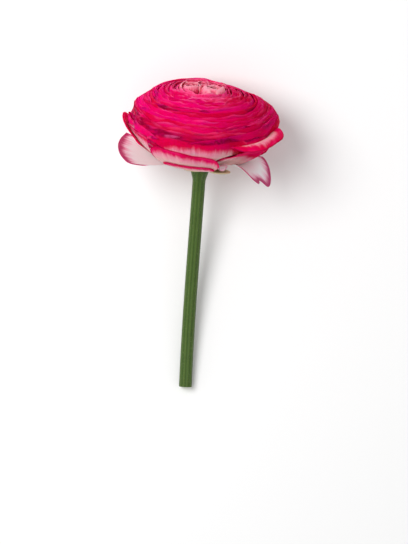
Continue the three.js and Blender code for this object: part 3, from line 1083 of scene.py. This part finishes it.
def makeStem():
    rings = stemRings()
    count = stemSizes["sides"]
    sideways = np.array(bloomAcross)
    places, crests, cuts = [], [], []
    for centre, head, radius, ribbed, cut in rings:
        right = sideways - head * np.dot(sideways, head)
        right /= np.linalg.norm(right)
        over = np.cross(head, right)
        for n in range(count):
            angle = 2 * math.pi * n / count
            crest = 0.5 + 0.5 * math.cos(stemSizes["ribs"] * angle)
            reach = radius - ribbed * stemSizes["ribDepth"] * (1 - crest)
            place = centre + (right * math.cos(angle) + over * math.sin(angle)) * reach
            places.append((place[0], place[1], max(place[2], 0.0)))
            crests.append(crest)
            cuts.append(cut)
    faces = [tuple(range(count - 1, -1, -1))]
    for j in range(len(rings) - 1):
        for i in range(count):
            a, b = j * count + i, j * count + (i + 1) % count
            faces.append((a, b, b + count, a + count))
    last = (len(rings) - 1) * count
    faces.append(tuple(range(last, last + count)))
    mesh = bpy.data.meshes.new("bareStem")
    mesh.from_pydata(places, [], faces)
    mark(mesh, {"around": crests, "cut": cuts})
    mesh.materials.append(stemSkin)
    return settle(newPiece("bareStem", mesh), stemSizes["sharpAngle"])


stem = claim(makeStem(), "stem", "stem")
print("stem made")

down = {  # fine hairs on the stem and the sepals
    "length": 0.9 * mm,
    "radius": 0.035 * mm,
    "shortest": 0.5,  # as a share of the length
    "sway": 0.5,  # radians off the surface's normal, at most
    "twist": 6.28,  # radians about itself, at most
    "stemDensity": 0.9e6,  # hairs to a square metre
    "sepalDensity": 1.2e6,
    "seed": 4,
    "finish": {"Base Color": (0.42, 0.46, 0.28, 1), "Roughness": 0.6},
}
hairSkin = newMaterial("downSkin", down["finish"])[0]


def growDown(name, ground, density):  # no hair on the stem's cut face, and none below the floor
    sizes = {
        "density": density, "length": down["length"], "radius": down["radius"],
        "seed": down["seed"], "material": hairSkin,
    }
    maker, given = geometryTree(name + "Shape", sizes)
    add = maker.add
    grown = given.density * (1.0 - maker.carried("cut").math("GREATER_THAN", 0.0))
    scattered = {"Mesh": given.Geometry, "Density": grown, "Seed": given.seed}
    atRandom = {"distribute_method": "RANDOM"}
    points = add("GeometryNodeDistributePointsOnFaces", atRandom, scattered)
    turned = Wire(maker, points.socket.node.outputs["Rotation"])
    hair = add(
        "GeometryNodeMeshCone", None,
        {"Vertices": 3, "Radius Top": 0.0, "Radius Bottom": given.radius, "Depth": given.length},
    )
    shrink = add(
        "FunctionNodeRandomValue", {"data_type": "FLOAT"}, {2: down["shortest"], 3: 1.0}, output=1
    )
    most = down["sway"]
    sway = add(
        "FunctionNodeRandomValue", {"data_type": "FLOAT_VECTOR"},
        {0: (-most, -most, 0.0), 1: (most, most, down["twist"])},
    )
    leaning = add(
        "FunctionNodeRotateRotation", {"rotation_space": "LOCAL"}, {0: turned, 1: sway}
    )
    hairs = add(
        "GeometryNodeInstanceOnPoints", None,
        {"Points": points, "Instance": hair, "Rotation": leaning, "Scale": shrink},
    )
    whole = add("GeometryNodeRealizeInstances", None, [hairs])
    x, y, z = (maker.part(maker.place(), axis) for axis in "XYZ")
    above = maker.vector(x, y, z.math("MAXIMUM", 0.0))
    whole = add("GeometryNodeSetPosition", None, {"Geometry": whole, "Position": above})
    piece = newPiece(name, ground.data.copy())
    runTree(piece, maker, maker.dress(whole, given.material), sizes)
    return settle(piece)


stemDown = claim(growDown("stemDown", stem, down["stemDensity"]), "stem")
sepalDown = claim(growDown("sepalDown", sepals, down["sepalDensity"]), "sepal")
print("hairs:", len(stemDown.data.polygons) + len(sepalDown.data.polygons), "faces")

room = {
    "floorHalf": 4.0,
    "paper": {"Base Color": (0.9, 0.9, 0.9, 1), "Roughness": 0.9},
    "air": (1, 1, 1, 1),
    "airStrength": 0.6,
    "window": Vector((-0.55, 0.25, 1.1)),
    "windowFaces": Vector((0.0, 0.06, 0.03)),
    "windowSize": 0.7,
    "windowPower": 11,
}
photo = {  # the picture that the camera matches: its size and the dome's middle in pixels
    "width": 408, "height": 544, "domeX": 203, "domeY": 123, "pixel": 0.61 * mm,
    "cameraDistance": 3.0, "sensor": 36,
}


def makeFloor():
    half = room["floorHalf"]
    mesh = bpy.data.meshes.new("paleFloor")
    corners = [(-half, -half, 0), (half, -half, 0), (half, half, 0), (-half, half, 0)]
    mesh.from_pydata(corners, [], [(0, 1, 2, 3)])
    mesh.materials.append(newMaterial("palePaper", room["paper"])[0])
    newPiece("paleFloor", mesh)


def makeLight():
    world = bpy.data.worlds.new("softRoom")
    world.use_nodes = True
    air = world.node_tree.nodes["Background"]
    air.inputs["Color"].default_value = room["air"]
    air.inputs["Strength"].default_value = room["airStrength"]
    bpy.context.scene.world = world
    light = bpy.data.lights.new("windowLight", "AREA")
    light.shape = "DISK"
    light.size = room["windowSize"]
    light.energy = room["windowPower"]
    lamp = newPiece("windowLight", light)
    lamp.location = room["window"]
    sight = room["windowFaces"] - room["window"]
    lamp.rotation_euler = sight.to_track_quat("-Z", "Y").to_euler()


def makeCamera():  # straight above, where the whole photograph's height fits its view
    pixel, away = photo["pixel"], photo["cameraDistance"]
    middle = lying["domeCentre"]
    camera = bpy.data.cameras.new("overhead")
    camera.sensor_width = photo["sensor"]
    camera.lens = photo["sensor"] * away / (photo["height"] * pixel)
    seen = newPiece("overhead", camera)
    seen.location = (
        middle.x + (photo["width"] / 2 - photo["domeX"]) * pixel,
        middle.y + (photo["domeY"] - photo["height"] / 2) * pixel,
        middle.z + away,
    )
    bpy.context.scene.camera = seen


makeFloor()
makeLight()
makeCamera()
print("stage, light and camera set")
